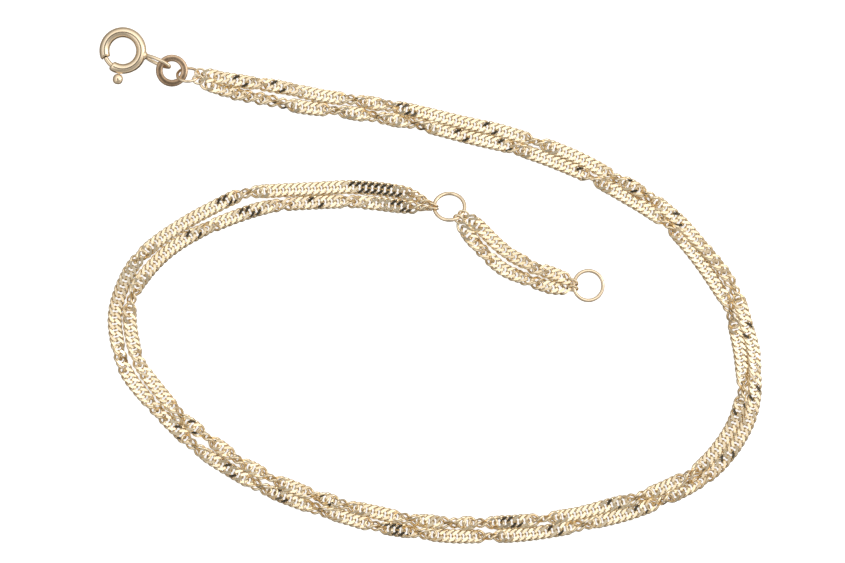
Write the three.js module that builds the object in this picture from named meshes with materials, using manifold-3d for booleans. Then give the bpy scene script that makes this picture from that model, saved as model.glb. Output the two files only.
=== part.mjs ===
// Two-strand twisted curb chain anklet with a spring-ring clasp and an extender.
// It is laid open and flat on the plane z = 0, in millimetres, +Z up.

import * as THREE from 'three';
import { mergeVertices } from 'three/addons/utils/BufferGeometryUtils.js';
import Module from 'manifold-3d';

const wasm = await Module();
wasm.setup();

// Spring-ring clasp: a hollow tube bent to a ring, open at its mouth
const CLASP_OUTER = 5.5;
const CLASP_TUBE = 1.2;
const CLASP_BORE = 0.76;
const CLASP_CENTRE = [-35.95, 27.45];
const MOUTH_FROM_DEG = 204;
const MOUTH_TO_DEG = 232;

// The bolt that closes the mouth, its trigger knob and the slot the knob slides in
const BOLT_DIAMETER = 0.56;
const BOLT_OVERLAP_DEG = 6;
const BOLT_TAIL_DEG = 18;
const KNOB_DEG = 260;
const KNOB_DIAMETER = 1.2;
const KNOB_THICKNESS = 0.95;
const KNOB_NECK = 0.3;
const KNOB_CLEARANCE = 0.04;
const TRIGGER_TRAVEL_DEG = 36;
const SLOT_PLAY = 0.08;

// The wire eye soldered to the clasp
const EYE_LENGTH = 3.5;
const EYE_WIDTH = 1.6;
const EYE_WIRE = 0.42;
const EYE_DEG = -13;
const EYE_TURN_DEG = -24;
const EYE_ROLL_DEG = 66;
const EYE_PITCH_DEG = 8;
const EYE_SOLDER = 0.2;

// The flat ring between the clasp and the jump ring
const TAG_OUTER = 3.75;
const TAG_HOLE = 2.15;
const TAG_THICKNESS = 0.45;
const TAG_EDGE_ROUND = 0.12;
const TAG_CENTRE = [-30.2, 25.1];
const TAG_HEIGHT = 0.88;

// The thin jump ring that holds both strands
const JUMP_OUTER = 2.85;
const JUMP_WIRE = 0.34;
const JUMP_CENTRE = [-28.3, 24.6];
const JUMP_TILT_DEG = -49;

// The ring between the strands and the extender
const MIDDLE_OUTER = 4.0;
const MIDDLE_WIRE = 0.44;
const MIDDLE_CENTRE = [2.2, 9.2];
const MIDDLE_TILT_DEG = -28;

// The ring at the extender's end
const END_OUTER = 3.9;
const END_WIRE = 0.42;
const END_CENTRE = [18.45, 0.0];
const END_TILT_DEG = 9;

// Chain: each strand is a flat-bottomed tube of the chain's mean section,
// which ends at both ends in a round link that holds the ring there
const CHAIN_WIDTH = 1.35;
const CHAIN_HEIGHT = 0.84;
const CHAIN_END_WIDTH = 0.5;
const CHAIN_CORNER_SHARE = 0.42;
const CHAIN_STEP = 2.76;
const CHAIN_TAPER = 3.0;
const LINK_LENGTH = 1.5;
const LINK_WIDTH = 1.3;
const LINK_WIRE = 0.26;
const LINK_PLAY = 0.08;
const LINK_GRIP = 0.34;

// Where each strand's first and last link hold their ring, in degrees round it, and how far
// each of these links is turned over from standing square across the ring's wire
const OUTER_HOLDS_DEG = [16, 172];
const INNER_HOLDS_DEG = [-38, 188];
const UPPER_HOLDS_DEG = [-32, 169];
const LOWER_HOLDS_DEG = [-57, 191];
const OUTER_LINK_TURNS_DEG = [-35, -22];
const INNER_LINK_TURNS_DEG = [-35, -22];
const UPPER_LINK_TURNS_DEG = [-40, 35];
const LOWER_LINK_TURNS_DEG = [-40, 35];

// Facets round each section, and steps along each sweep
const TUBE_SIDES = 16;
const RING_SIDES = 12;
const NECK_SIDES = 8;
const LINK_SIDES = 8;
const LINK_STEPS = 16;
const RING_STEPS = 40;
const EYE_STEPS = 32;
const CLASP_STEPS = 44;
const BOLT_STEPS = 12;
const KNOB_STEPS = [16, 10];

// The strands' routes as they lie, without their ends at the rings
const OUTER_ROUTE = [
  [-24.2, 24.2], [-21.7, 23.8], [-17.6, 23.2], [-12.9, 22.2], [-8.6, 21.6], [-4, 20.8],
  [-0.6, 20.1], [3.5, 19.1], [8.1, 18.1], [12.6, 16.7], [16.8, 15.1], [21.8, 12.5],
  [25.5, 10.4], [29.1, 7.5], [31.1, 5.3], [32.9, 3.3], [34.9, 0.6], [36.2, -2.2],
  [37, -5], [37.7, -7.5], [37.9, -10.9], [37.8, -13.4], [37.1, -16], [35.5, -18.9],
  [33.5, -21.3], [31.3, -23], [27.1, -25.1], [23.3, -26.6], [18, -27.9], [14, -28.7],
  [9.9, -29.2], [6, -29.3], [2.3, -29.3], [-1.2, -28.9], [-5.9, -28.2], [-10, -27.1],
  [-14.7, -25.6], [-19.7, -23.6], [-23.4, -21.6], [-27.4, -18.9], [-30.5, -16], [-33.2, -13.2],
  [-35.6, -10], [-36.6, -6.7], [-36.9, -3.5], [-36.2, -0.6], [-34.7, 2.4], [-32.6, 4.6],
  [-29.5, 6.8], [-25.8, 8.9], [-21.8, 10.7], [-17.6, 11.1], [-13.5, 11.3], [-9.4, 11.5],
  [-5.3, 11.2], [-2.6, 10.7],
];
const INNER_ROUTE = [
  [-23.5, 22.6], [-19.7, 21.8], [-14.7, 20.8], [-10.6, 20.3], [-6, 19.5], [-1.3, 18.7],
  [1.7, 17.9], [5.6, 16.9], [9.7, 15.9], [14, 14.4], [18.8, 12.3], [22.2, 10.4],
  [25.6, 8.3], [27.7, 6.7], [30.4, 3.7], [32.9, 0.2], [34.6, -2.7], [35.6, -6.4],
  [36.1, -9.9], [36.1, -12.7], [35.3, -15.7], [33.8, -18.3], [31.6, -20.8], [28.5, -22.8],
  [25.1, -24.3], [21, -25.5], [17, -26.6], [13.4, -27.1], [9.9, -27.5], [6.3, -27.6],
  [2.5, -27.6], [-2.3, -27.2], [-5.9, -26.5], [-9.7, -25.6], [-13.2, -24.5], [-17, -23.1],
  [-19.7, -21.8], [-22.2, -20.4], [-25.9, -17.7], [-28.9, -15.3], [-31.8, -12], [-33.9, -9],
  [-34.8, -5.8], [-35, -2.9], [-34.2, -0.2], [-31.6, 3.1], [-28.8, 5.3], [-26.5, 6.5],
  [-22.9, 8], [-19.4, 9.1], [-15.3, 9.6], [-9.4, 9.8], [-6.5, 9.6], [-3.9, 9.3],
];
const UPPER_ROUTE = [[5.8, 6.8], [7.6, 5], [9.5, 3.5], [11, 2.7], [12.2, 2], [14, 1.5]];
const LOWER_ROUTE = [[4.7, 5.6], [6.4, 3.7], [8.5, 1.9], [10.5, 1], [12.1, 0.4], [14, -0.2]];

// Gold colours
const PALE_GOLD = { color: 0xdcc39a, roughness: 0.22, metalness: 1 };
const WORN_GOLD = { color: 0xc9a988, roughness: 0.34, metalness: 1 };

const radians = THREE.MathUtils.degToRad;

// Join and cut closed meshes
function solidOf(geometry) {
  const bare = geometry.clone();
  bare.deleteAttribute('normal');
  bare.deleteAttribute('uv');
  const merged = mergeVertices(bare, 1e-4);
  return new wasm.Manifold(new wasm.Mesh({
    numProp: 3,
    vertProperties: new Float32Array(merged.attributes.position.array),
    triVerts: new Uint32Array(merged.index.array),
  }));
}

function geometryOf(solid) {
  const mesh = solid.getMesh();
  const geometry = new THREE.BufferGeometry();
  geometry.setAttribute('position', new THREE.BufferAttribute(mesh.vertProperties, 3));
  geometry.setIndex(new THREE.BufferAttribute(mesh.triVerts, 1));
  geometry.computeVertexNormals();
  return geometry;
}

function joined(...geometries) {
  const solids = geometries.map(solidOf);
  return geometryOf(solids.slice(1).reduce((sum, solid) => sum.add(solid), solids[0]));
}

function cut(geometry, tool) {
  return geometryOf(solidOf(geometry).subtract(solidOf(tool)));
}

// A regular polygon, as a shape or as a hole in one
function polygon(radius, sides, Kind = THREE.Shape) {
  const points = [];
  for (let i = 0; i < sides; i += 1) {
    const angle = (2 * Math.PI * (i + 0.5)) / sides;
    points.push(new THREE.Vector2(radius * Math.cos(angle), radius * Math.sin(angle)));
  }
  return new Kind(points);
}

// A wire or tube bent along an arc round the z axis
class Arc extends THREE.Curve {
  constructor(radius, fromDeg, toDeg) {
    super();
    this.radius = radius;
    this.from = radians(fromDeg);
    this.to = radians(toDeg);
  }

  getPoint(share, target = new THREE.Vector3()) {
    const angle = THREE.MathUtils.lerp(this.from, this.to, share);
    return target.set(this.radius * Math.cos(angle), this.radius * Math.sin(angle), 0);
  }
}

function arcSweep(section, radius, fromDeg, toDeg, steps) {
  const extrudePath = new Arc(radius, fromDeg, toDeg);
  return new THREE.ExtrudeGeometry(section, { steps, bevelEnabled: false, extrudePath });
}

// A closed wire loop: an ellipse in the xy plane with a round section
function wireLoop(length, width, wire, sides, steps) {
  const geometry = new THREE.TorusGeometry(1, wire / 2, sides, steps);
  const position = geometry.attributes.position;
  const long = (length - wire) / 2;
  const wide = (width - wire) / 2;
  for (let i = 0; i < position.count; i += 1) {
    const angle = Math.atan2(position.getY(i), position.getX(i));
    const out = Math.hypot(position.getX(i), position.getY(i)) - 1;
    const normal = new THREE.Vector2(wide * Math.cos(angle), long * Math.sin(angle)).normalize();
    const x = long * Math.cos(angle) + out * normal.x;
    const y = wide * Math.sin(angle) + out * normal.y;
    position.setXY(i, x, y);
  }
  return geometry;
}

// A plain wire ring, tilted so that one side of it rests on the plane z = 0
function ringFrame(outer, wire, centre, tiltAxis, tiltDeg) {
  const radius = (outer - wire) / 2;
  const height = wire / 2 + radius * Math.abs(Math.sin(radians(tiltDeg)));
  const turn = new THREE.Matrix4().makeRotationAxis(tiltAxis, radians(tiltDeg));
  turn.setPosition(centre[0], centre[1], height);
  return { radius, wire, turn };
}

function ringSolid(frame) {
  const size = 2 * frame.radius + frame.wire;
  return wireLoop(size, size, frame.wire, RING_SIDES, RING_STEPS).applyMatrix4(frame.turn);
}

// The point and direction of a ring's wire at an angle round it
function wireAt(frame, deg) {
  const angle = radians(deg);
  const point = new THREE.Vector3(Math.cos(angle), Math.sin(angle), 0).multiplyScalar(frame.radius);
  const along = new THREE.Vector3(-Math.sin(angle), Math.cos(angle), 0);
  return { point: point.applyMatrix4(frame.turn), along: along.transformDirection(frame.turn) };
}

// A strand's end: where its last link holds a ring, and where its tube stops before it
function strandEnd(frame, deg, turnDeg, towards) {
  const held = wireAt(frame, deg);
  const inner = new THREE.Vector3(towards[0], towards[1], CHAIN_HEIGHT / 2);
  const away = inner.clone().sub(held.point).normalize();
  const innerHalf = LINK_LENGTH / 2 - LINK_WIRE;
  const toLink = innerHalf - frame.wire / 2 - LINK_PLAY;
  const linkCentre = held.point.clone().addScaledVector(away, toLink);
  const tubeEnd = linkCentre.clone().addScaledVector(away, LINK_LENGTH / 2 - LINK_GRIP);
  const across = new THREE.Vector3().crossVectors(away, held.along).normalize();
  const normal = new THREE.Vector3().crossVectors(away, across).normalize();
  const turn = new THREE.Matrix4().makeBasis(away, across, normal);
  turn.multiply(new THREE.Matrix4().makeRotationX(radians(turnDeg)));
  turn.setPosition(linkCentre);
  const link = wireLoop(LINK_LENGTH, LINK_WIDTH, LINK_WIRE, LINK_SIDES, LINK_STEPS);
  return { tubeEnd, link: link.applyMatrix4(turn) };
}

// The tube of one strand: a flat eight-sided section swept along the route, narrower
// towards both ends and lifted there to the height of the links that hold the rings
function strandTube(start, route, end) {
  const flat = [start.tubeEnd, ...route.map(([x, y]) => ({ x, y })), end.tubeEnd];
  const curve = new THREE.CatmullRomCurve3(
    flat.map((point) => new THREE.Vector3(point.x, point.y, 0)), false, 'centripetal');
  const length = curve.getLength();
  const steps = Math.max(8, Math.round(length / CHAIN_STEP));
  const stations = curve.getSpacedPoints(steps);
  const halfHeight = CHAIN_HEIGHT / 2;
  const halfWidth = CHAIN_WIDTH / 2;
  const corner = CHAIN_CORNER_SHARE;
  const section = new THREE.Shape([
    [1, corner], [corner, 1], [-corner, 1], [-1, corner],
    [-1, -corner], [-corner, -1], [corner, -1], [1, -corner],
  ].map(([up, side]) => new THREE.Vector2(up * halfHeight, side * halfWidth)));
  const geometry = new THREE.ExtrudeGeometry(section, { steps, bevelEnabled: false, extrudePath: curve });
  const position = geometry.attributes.position;
  const vertex = new THREE.Vector3();
  for (let i = 0; i < position.count; i += 1) {
    vertex.fromBufferAttribute(position, i);
    const onPlane = new THREE.Vector3(vertex.x, vertex.y, 0);
    const distances = stations.map((station) => station.distanceTo(onPlane));
    const index = distances.indexOf(Math.min(...distances));
    const station = stations[index];
    const along = (index * length) / steps;
    const fromStart = Math.min(along / CHAIN_TAPER, 1);
    const fromEnd = Math.min((length - along) / CHAIN_TAPER, 1);
    const share = Math.min(fromStart, fromEnd);
    const width = THREE.MathUtils.lerp(CHAIN_END_WIDTH, CHAIN_WIDTH, share) / CHAIN_WIDTH;
    const startLift = (1 - fromStart) * (start.tubeEnd.z - halfHeight);
    const endLift = (1 - fromEnd) * (end.tubeEnd.z - halfHeight);
    const x = station.x + (vertex.x - station.x) * width;
    const y = station.y + (vertex.y - station.y) * width;
    position.setXYZ(i, x, y, vertex.z + halfHeight + Math.max(startLift, 0) + Math.max(endLift, 0));
  }
  return geometry;
}

function strand(startFrame, route, endFrame, holdsDeg, turnsDeg) {
  const start = strandEnd(startFrame, holdsDeg[0], turnsDeg[0], route[0]);
  const end = strandEnd(endFrame, holdsDeg[1], turnsDeg[1], route[route.length - 1]);
  return joined(strandTube(start, route, end), start.link, end.link);
}

const anklet = new THREE.Group();

function addPiece(name, geometry, finish) {
  const mesh = new THREE.Mesh(geometry, new THREE.MeshStandardMaterial(finish));
  mesh.name = name;
  anklet.add(mesh);
}

// Spring-ring clasp
const claspRadius = (CLASP_OUTER - CLASP_TUBE) / 2;
const boltRadius = BOLT_DIAMETER / 2;

function claspRing() {
  const hollow = polygon(CLASP_TUBE / 2, TUBE_SIDES);
  hollow.holes.push(polygon(CLASP_BORE / 2, RING_SIDES, THREE.Path));
  const tube = arcSweep(hollow, claspRadius, MOUTH_TO_DEG, MOUTH_FROM_DEG + 360, CLASP_STEPS);
  const eye = wireLoop(EYE_LENGTH, EYE_WIDTH, EYE_WIRE, RING_SIDES, EYE_STEPS);
  eye.translate(EYE_LENGTH / 2, 0, 0);
  eye.rotateX(radians(EYE_ROLL_DEG));
  eye.rotateY(radians(-EYE_PITCH_DEG));
  eye.rotateZ(radians(EYE_TURN_DEG));
  const seat = CLASP_OUTER / 2 - EYE_SOLDER;
  eye.translate(seat * Math.cos(radians(EYE_DEG)), seat * Math.sin(radians(EYE_DEG)), 0);
  const innerSlot = claspRadius + CLASP_BORE / 4;
  const outerSlot = CLASP_OUTER / 2 + CLASP_TUBE;
  const halfSlot = KNOB_NECK / 2 + SLOT_PLAY;
  const slotEndDeg = THREE.MathUtils.radToDeg(halfSlot / (CLASP_OUTER / 2));
  const slotShape = new THREE.Shape();
  const from = radians(KNOB_DEG - slotEndDeg);
  const to = radians(KNOB_DEG + TRIGGER_TRAVEL_DEG + slotEndDeg);
  slotShape.absarc(0, 0, outerSlot, from, to, false);
  slotShape.absarc(0, 0, innerSlot, to, from, true);
  const slotWidth = { depth: 2 * halfSlot, bevelEnabled: false, curveSegments: BOLT_STEPS };
  const slot = new THREE.ExtrudeGeometry(slotShape, slotWidth);
  slot.translate(0, 0, -halfSlot);
  return cut(joined(tube, eye), slot);
}

function claspBolt() {
  const tip = MOUTH_FROM_DEG - BOLT_OVERLAP_DEG;
  const tail = KNOB_DEG + BOLT_TAIL_DEG;
  const bolt = arcSweep(polygon(boltRadius, RING_SIDES), claspRadius, tip, tail, BOLT_STEPS);
  const knobCentre = CLASP_OUTER / 2 + KNOB_CLEARANCE + KNOB_DIAMETER / 2;
  const neckLength = knobCentre - claspRadius;
  const neck = new THREE.CylinderGeometry(KNOB_NECK / 2, KNOB_NECK / 2, neckLength, NECK_SIDES);
  neck.rotateZ(Math.PI / 2);
  neck.translate(claspRadius + neckLength / 2, 0, 0);
  neck.rotateZ(radians(KNOB_DEG));
  const knob = new THREE.SphereGeometry(KNOB_DIAMETER / 2, ...KNOB_STEPS);
  knob.rotateX(Math.PI / 2);
  knob.scale(1, 1, KNOB_THICKNESS / KNOB_DIAMETER);
  knob.translate(knobCentre, 0, 0);
  knob.rotateZ(radians(KNOB_DEG));
  return joined(bolt, neck, knob);
}

for (const [name, geometry] of [['clasp_ring', claspRing()], ['clasp_bolt', claspBolt()]]) {
  geometry.translate(CLASP_CENTRE[0], CLASP_CENTRE[1], CLASP_TUBE / 2);
  addPiece(name, geometry, PALE_GOLD);
}

// Flat tag ring, raised on the wires that pass through it
function tagRing() {
  const outer = TAG_OUTER / 2;
  const inner = TAG_HOLE / 2;
  const half = TAG_THICKNESS / 2;
  const round = TAG_EDGE_ROUND;
  const profile = [
    [inner, half - round], [inner, round - half], [inner + round, -half], [outer - round, -half],
    [outer, round - half], [outer, half - round], [outer - round, half], [inner + round, half],
    [inner, half - round],
  ].map(([radius, height]) => new THREE.Vector2(radius, height));
  const ring = new THREE.LatheGeometry(profile, RING_STEPS);
  ring.rotateX(Math.PI / 2);
  ring.translate(TAG_CENTRE[0], TAG_CENTRE[1], TAG_HEIGHT);
  return ring;
}
addPiece('tag_ring', tagRing(), WORN_GOLD);

// Wire rings
const xAxis = new THREE.Vector3(1, 0, 0);
const yAxis = new THREE.Vector3(0, 1, 0);
const jumpFrame = ringFrame(JUMP_OUTER, JUMP_WIRE, JUMP_CENTRE, xAxis, JUMP_TILT_DEG);
const middleFrame = ringFrame(MIDDLE_OUTER, MIDDLE_WIRE, MIDDLE_CENTRE, xAxis, MIDDLE_TILT_DEG);
const endFrame = ringFrame(END_OUTER, END_WIRE, END_CENTRE, yAxis, END_TILT_DEG);
addPiece('jump_ring', ringSolid(jumpFrame), PALE_GOLD);
addPiece('middle_ring', ringSolid(middleFrame), PALE_GOLD);
addPiece('end_ring', ringSolid(endFrame), PALE_GOLD);

// Chain strands
const strands = [
  ['outer_strand', jumpFrame, OUTER_ROUTE, middleFrame, OUTER_HOLDS_DEG, OUTER_LINK_TURNS_DEG],
  ['inner_strand', jumpFrame, INNER_ROUTE, middleFrame, INNER_HOLDS_DEG, INNER_LINK_TURNS_DEG],
  ['extender_upper', middleFrame, UPPER_ROUTE, endFrame, UPPER_HOLDS_DEG, UPPER_LINK_TURNS_DEG],
  ['extender_lower', middleFrame, LOWER_ROUTE, endFrame, LOWER_HOLDS_DEG, LOWER_LINK_TURNS_DEG],
];
for (const [name, ...placing] of strands) {
  addPiece(name, strand(...placing), PALE_GOLD);
}

// The origin is the middle of the anklet's outline, on the plane that it rests on
const outline = new THREE.Box3().setFromObject(anklet);
const middle = outline.getCenter(new THREE.Vector3());
anklet.position.set(-middle.x, -middle.y, -outline.min.z);

export default anklet;
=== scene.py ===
import math

import bpy
import numpy as np
from mathutils import Matrix, Vector


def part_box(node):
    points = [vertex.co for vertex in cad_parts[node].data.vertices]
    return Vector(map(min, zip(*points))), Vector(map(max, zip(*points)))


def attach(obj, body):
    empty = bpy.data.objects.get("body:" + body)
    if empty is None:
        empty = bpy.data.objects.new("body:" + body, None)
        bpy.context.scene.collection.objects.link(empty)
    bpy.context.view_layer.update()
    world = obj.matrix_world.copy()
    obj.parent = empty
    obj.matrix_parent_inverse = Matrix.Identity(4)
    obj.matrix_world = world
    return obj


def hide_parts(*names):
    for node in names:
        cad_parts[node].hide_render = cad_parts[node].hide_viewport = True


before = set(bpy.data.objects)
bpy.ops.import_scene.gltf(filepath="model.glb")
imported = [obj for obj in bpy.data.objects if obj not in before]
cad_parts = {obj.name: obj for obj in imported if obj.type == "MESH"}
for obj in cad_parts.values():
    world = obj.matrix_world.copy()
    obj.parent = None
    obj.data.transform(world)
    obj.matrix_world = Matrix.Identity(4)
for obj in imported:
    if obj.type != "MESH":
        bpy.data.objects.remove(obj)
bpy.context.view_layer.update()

# Sizes and places are in millimetres and are scaled to metres where a thing is made, apart
# from those of the gold's noise, the floor and the lamp, which are in metres
MM = 0.001

# Spring-ring clasp
CLASP_OUTER = 5.5
CLASP_TUBE = 1.2
CLASP_BORE = 0.76
CLASP_CENTRE = (-35.95, 27.45)
MOUTH_FROM_DEG = 204
MOUTH_TO_DEG = 232
BOLT_DIAMETER = 0.56
BOLT_OVERLAP_DEG = 6
BOLT_TAIL_DEG = 18
BOLT_TIP_SHARES = (0.55, 0.8, 0.93, 0.99)
BOLT_TAIL_SHARES = (0.97, 0.85)
KNOB_DEG = 260
KNOB_DIAMETER = 1.2
KNOB_THICKNESS = 0.95
KNOB_NECK = 0.3
KNOB_CLEARANCE = 0.04
KNOB_FULLNESS = 0.75
NECK_FLARE = 1.6
NECK_FLARE_LENGTH = 0.4
TRIGGER_TRAVEL_DEG = 36
SLOT_PLAY = 0.08
TUBE_CAP_LENGTH = 0.32
TUBE_CAP_DEPTH = 0.2
TUBE_SCALLOP_DEG = 6
TUBE_SCALLOP_REACH_DEG = 20
TUBE_LEAST_WALL = 0.03

# Soldered eye of the clasp
EYE_LENGTH = 3.5
EYE_WIDTH = 1.6
EYE_WIRE = 0.42
EYE_DEG = -13
EYE_TURN_DEG = -24
EYE_ROLL_DEG = 66
EYE_PITCH_DEG = 8
EYE_SOLDER = 0.2
SOLDER_LEVELS = ((-0.35, 0.62), (-0.05, 0.56), (0.1, 0.44), (0.2, 0.33), (0.3, 0.27), (0.4, 0.24))
SOLDER_FLATTENING = 0.8
SOLDER_DEPTH = 0.08

# Rings
TAG_OUTER = 3.75
TAG_HOLE = 2.15
TAG_THICKNESS = 0.45
TAG_CENTRE = (-30.2, 25.1)
TAG_HEIGHT = 0.88
TAG_SQUARENESS = 0.7
# The side towards which shade is painted into the tag ring's colour
TAG_PAINTED_SHADE_SIDE = (-0.8, -0.6, 0.0)
JUMP_OUTER = 2.85
JUMP_WIRE = 0.34
JUMP_CENTRE = (-28.3, 24.6)
JUMP_TILT_DEG = -49
MIDDLE_OUTER = 4.0
MIDDLE_WIRE = 0.44
MIDDLE_CENTRE = (2.2, 9.2)
MIDDLE_TILT_DEG = -28
END_OUTER = 3.9
END_WIRE = 0.42
END_CENTRE = (18.45, 0.0)
END_TILT_DEG = 9
SEAM_WIDTH = 0.05
SEAM_THINNING = 0.9

# Where the strands hold the rings, as angles round each ring, and how far each of these
# links is turned over from standing square across the ring's wire
OUTER_HOLDS_DEG = (16, 172)
INNER_HOLDS_DEG = (-38, 188)
UPPER_HOLDS_DEG = (-32, 169)
LOWER_HOLDS_DEG = (-57, 191)
OUTER_LINK_TURNS_DEG = (-35, -22)
INNER_LINK_TURNS_DEG = (-35, -22)
UPPER_LINK_TURNS_DEG = (-40, 35)
LOWER_LINK_TURNS_DEG = (-40, 35)

# How each ribbon of curb links is rolled at its two ends: 0 lies flat, 90 stands on its edge
MAIN_END_ROLLS_DEG = (0, 90)
EXTENDER_END_ROLLS_DEG = (-8, -16)

# The plain link at each end of a strand
LINK_LENGTH = 1.5
LINK_WIDTH = 1.3
LINK_WIRE = 0.26
LINK_PLAY = 0.08
LINK_GRIP = 0.34
LINK_AIM_HEIGHT = 0.42

# The chain: twisted curb links, each through its two neighbours on both sides
CURB_PITCH = 0.743
CURB_HALF_LENGTH = 0.88
CURB_HALF_WIDTH = 0.7
CURB_WIRE = 0.33
CURB_TWIST_DEG = 62
CURB_CUT_HEIGHT = 0.3
CURB_FIRST = 1.05
CURB_SEGMENTS = 30
CURB_SIDES = 9
EDGE_TURN_LENGTH = 3.8
EDGE_LOOSENESS_DEG = 30
LEVEL_BLEND = 1.1
LEVEL_KEPT_OFF_DEG = 8
LEVEL_MARGIN = 0.1
END_LEAD_IN = 2.5
END_LIFT_LENGTH = 3.6
END_CROSSING_DEG = 45
ROUTE_STEP = 0.05
ROLL_SMOOTHING_STEPS = 12

# The strands' routes as they lie, the same as in the CAD model
OUTER_ROUTE = [
    (-24.2, 24.2), (-21.7, 23.8), (-17.6, 23.2), (-12.9, 22.2), (-8.6, 21.6), (-4, 20.8),
    (-0.6, 20.1), (3.5, 19.1), (8.1, 18.1), (12.6, 16.7), (16.8, 15.1), (21.8, 12.5),
    (25.5, 10.4), (29.1, 7.5), (31.1, 5.3), (32.9, 3.3), (34.9, 0.6), (36.2, -2.2),
    (37, -5), (37.7, -7.5), (37.9, -10.9), (37.8, -13.4), (37.1, -16), (35.5, -18.9),
    (33.5, -21.3), (31.3, -23), (27.1, -25.1), (23.3, -26.6), (18, -27.9), (14, -28.7),
    (9.9, -29.2), (6, -29.3), (2.3, -29.3), (-1.2, -28.9), (-5.9, -28.2), (-10, -27.1),
    (-14.7, -25.6), (-19.7, -23.6), (-23.4, -21.6), (-27.4, -18.9), (-30.5, -16), (-33.2, -13.2),
    (-35.6, -10), (-36.6, -6.7), (-36.9, -3.5), (-36.2, -0.6), (-34.7, 2.4), (-32.6, 4.6),
    (-29.5, 6.8), (-25.8, 8.9), (-21.8, 10.7), (-17.6, 11.1), (-13.5, 11.3), (-9.4, 11.5),
    (-5.3, 11.2), (-2.6, 10.7),
]
INNER_ROUTE = [
    (-23.5, 22.6), (-19.7, 21.8), (-14.7, 20.8), (-10.6, 20.3), (-6, 19.5), (-1.3, 18.7),
    (1.7, 17.9), (5.6, 16.9), (9.7, 15.9), (14, 14.4), (18.8, 12.3), (22.2, 10.4),
    (25.6, 8.3), (27.7, 6.7), (30.4, 3.7), (32.9, 0.2), (34.6, -2.7), (35.6, -6.4),
    (36.1, -9.9), (36.1, -12.7), (35.3, -15.7), (33.8, -18.3), (31.6, -20.8), (28.5, -22.8),
    (25.1, -24.3), (21, -25.5), (17, -26.6), (13.4, -27.1), (9.9, -27.5), (6.3, -27.6),
    (2.5, -27.6), (-2.3, -27.2), (-5.9, -26.5), (-9.7, -25.6), (-13.2, -24.5), (-17, -23.1),
    (-19.7, -21.8), (-22.2, -20.4), (-25.9, -17.7), (-28.9, -15.3), (-31.8, -12), (-33.9, -9),
    (-34.8, -5.8), (-35, -2.9), (-34.2, -0.2), (-31.6, 3.1), (-28.8, 5.3), (-26.5, 6.5),
    (-22.9, 8), (-19.4, 9.1), (-15.3, 9.6), (-9.4, 9.8), (-6.5, 9.6), (-3.9, 9.3),
]
UPPER_ROUTE = [(5.8, 6.8), (7.6, 5), (9.5, 3.5), (11, 2.7), (12.2, 2), (14, 1.5)]
LOWER_ROUTE = [(4.7, 5.6), (6.4, 3.7), (8.5, 1.9), (10.5, 1), (12.1, 0.4), (14, -0.2)]

# Places where a ribbon of links turns over: it makes half a turn there, by way of its edge
OUTER_EDGES = [
    (-8.6, 21.6), (-4, 20.8), (12.6, 16.7), (21.8, 12.6), (25.4, 10.2), (35.6, -0.9),
    (27.1, -25.1), (18, -27.8), (7.1, -29.2), (-1.2, -29), (-5.9, -28), (-12.7, -26.4),
    (-19.7, -23.7), (-27.3, -18.8), (-20.9, 10.7),
]
INNER_EDGES = [
    (-17, 21.2), (-10.8, 20.3), (-6, 19.5), (-1.3, 18.7), (9.7, 16), (18.9, 12.5),
    (27.9, 7), (35.3, -3.3), (36.7, -12.5), (30.4, -21.8), (24.2, -24.5), (13.4, -27.1),
    (6.3, -27.4), (2.5, -27.7), (-2.3, -27.3), (-9.7, -25.7), (-13.3, -24.6), (-18.4, -22.4),
    (-22.2, -20.3), (-26, -17.7), (-28.7, -15), (-34.8, -1.5),
]

# Places where links of a ribbon lie exactly level, and how many links do
OUTER_LEVELS = [
    (-22.3, 23.9, 1), (-17.7, 23.3, 1), (-2.9, 20.6, 1), (6.9, 18.3, 1), (23.2, 11.6, 1),
    (28.9, 8, 1), (37.3, -5, 1), (38.1, -12.9, 1), (34.9, -19.9, 1), (24.7, -26.1, 1),
    (14.7, -28.5, 1), (-4.2, -28.3, 3), (-17.5, -24.9, 1), (-23.6, -21.4, 1), (-29.6, -17, 1),
    (-23.9, 9.5, 2), (-6.4, 11.3, 7),
]
INNER_LEVELS = [
    (4, 17.4, 1), (8.3, 16.1, 1), (17.6, 13, 1), (36.1, -14.1, 1), (21.6, -25.3, 1),
    (9.4, -27.8, 2), (-12, -25, 1), (-27.4, -16.4, 1), (-27.9, 6, 1), (-21.3, 8.7, 2),
    (-13.1, 9.9, 1), (-3.5, 9.2, 2),
]

# How many degrees each ribbon leans over between its turns, from place to place. Where it leans
# by more than about 30 it looks narrow and uneven.
OUTER_LEANS = [
    (-24.6, 24.3, -40), (-22.3, 23.9, -10), (-20.2, 23.4, -42), (-18, 23.3, -12), (-16.6, 22.9, -42),
    (-14, 22.5, -13), (30.4, 6, -12), (32.2, 4, -36), (34.2, 1.6, -36), (37, -5, -12),
    (37.6, -8, -12), (37.9, -10, -34), (37.9, -11.9, -14), (37.7, -14, -13), (37.2, -15.7, 13),
    (34.9, -19.5, 13), (33.4, -21.4, 14), (31.8, -22.6, 50), (30, -23.7, 14), (25, -26, 13),
    (-25, -20.5, 12), (-30.6, -15.9, 14), (-32.1, -14.5, 58), (-33.7, -12.6, 14), (-35.2, -10.4, 14),
    (-36.2, -8.4, 56), (-36.6, -6.4, 12), (-36.8, -4, 12), (-35, 1.8, 12), (-34, 3.4, 50),
    (-32.6, 4.6, -14), (-9, 11.5, -12), (-5, 11.2, 12),
]
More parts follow.
